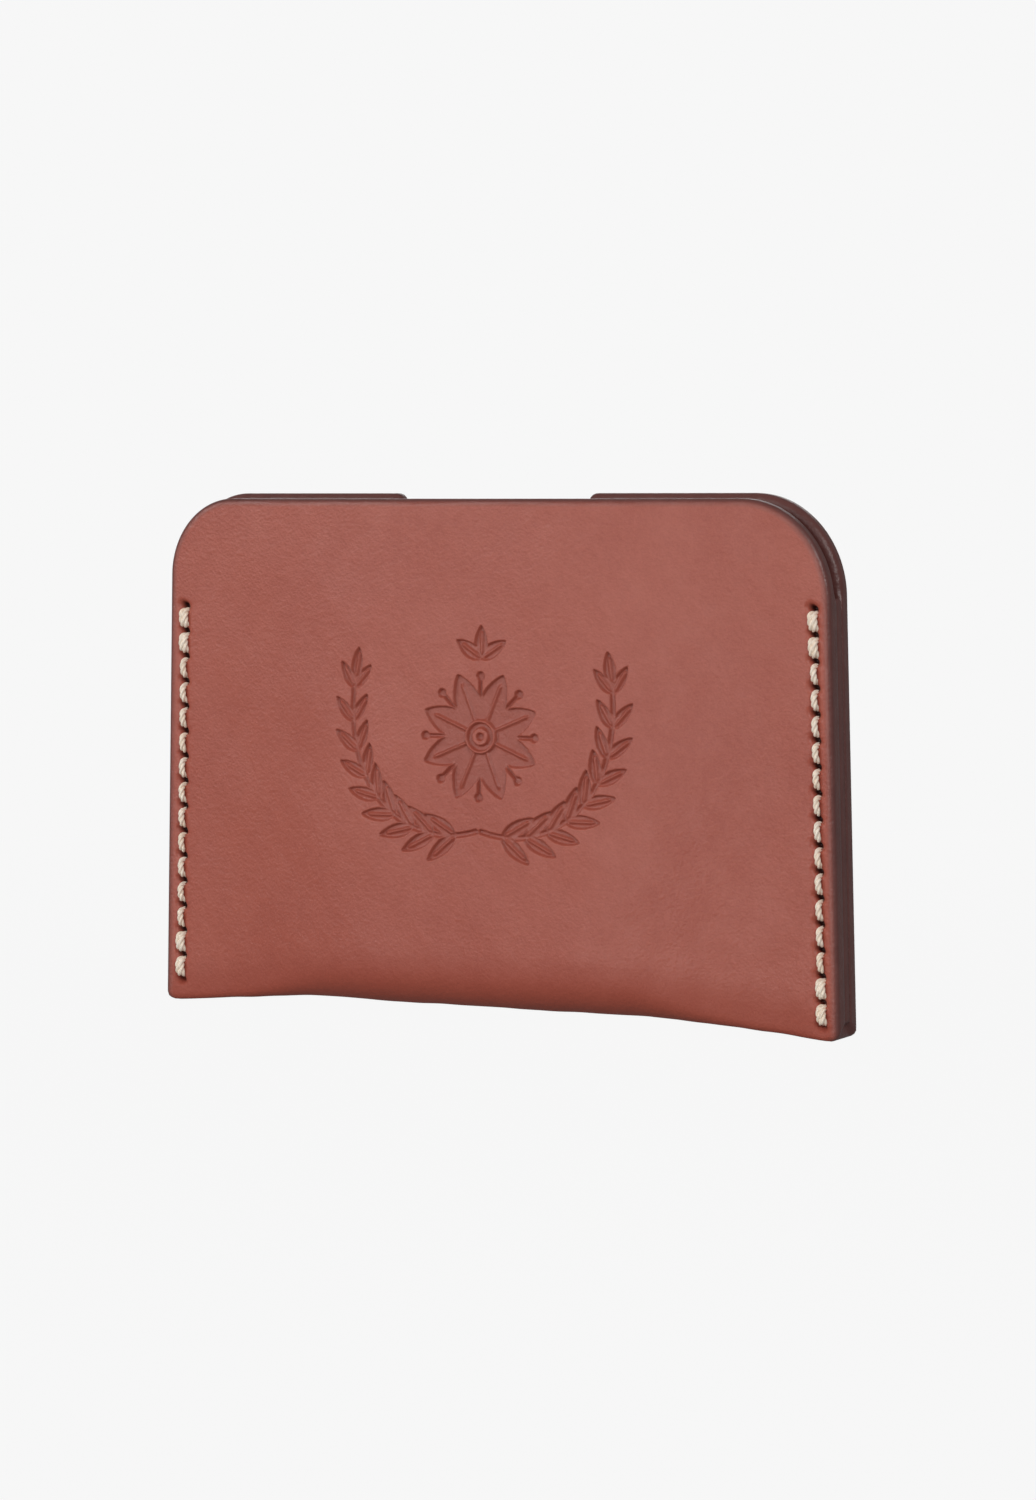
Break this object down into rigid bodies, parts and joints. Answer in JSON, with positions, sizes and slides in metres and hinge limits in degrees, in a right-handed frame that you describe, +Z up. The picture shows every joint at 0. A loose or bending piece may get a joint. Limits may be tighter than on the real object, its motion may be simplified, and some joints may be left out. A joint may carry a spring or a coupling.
{
  "type": "leather card holder",
  "caption": "Slim leather pocket for bank cards, folded at the bottom and sewn along both sides over welts, with a thumb notch in the back panel.",
  "frame": {"origin": "under the middle of the holder, on the surface it stands on, at the bottom centre of its box", "axes": "+X to the right of the front face, -Y out of the swelling front face, +Y out of the flat back panel, +Z up to the mouth"},
  "size_m": [0.1034, 0.0108, 0.0714],
  "materials": {
    "body_leather": "burnished bridle leather, satin",
    "welt_leather": "burnished leather edge, satin",
    "waxed_thread": "waxed thread"
  },
  "bodies": {
    "root": {"folded_body": "body_leather", "left_welt": "welt_leather", "right_welt": "welt_leather", "left_seam_needle_thread": "waxed_thread", "left_seam_bobbin_thread": "waxed_thread", "right_seam_needle_thread": "waxed_thread", "right_seam_bobbin_thread": "waxed_thread"}
  },
  "joints": []
}
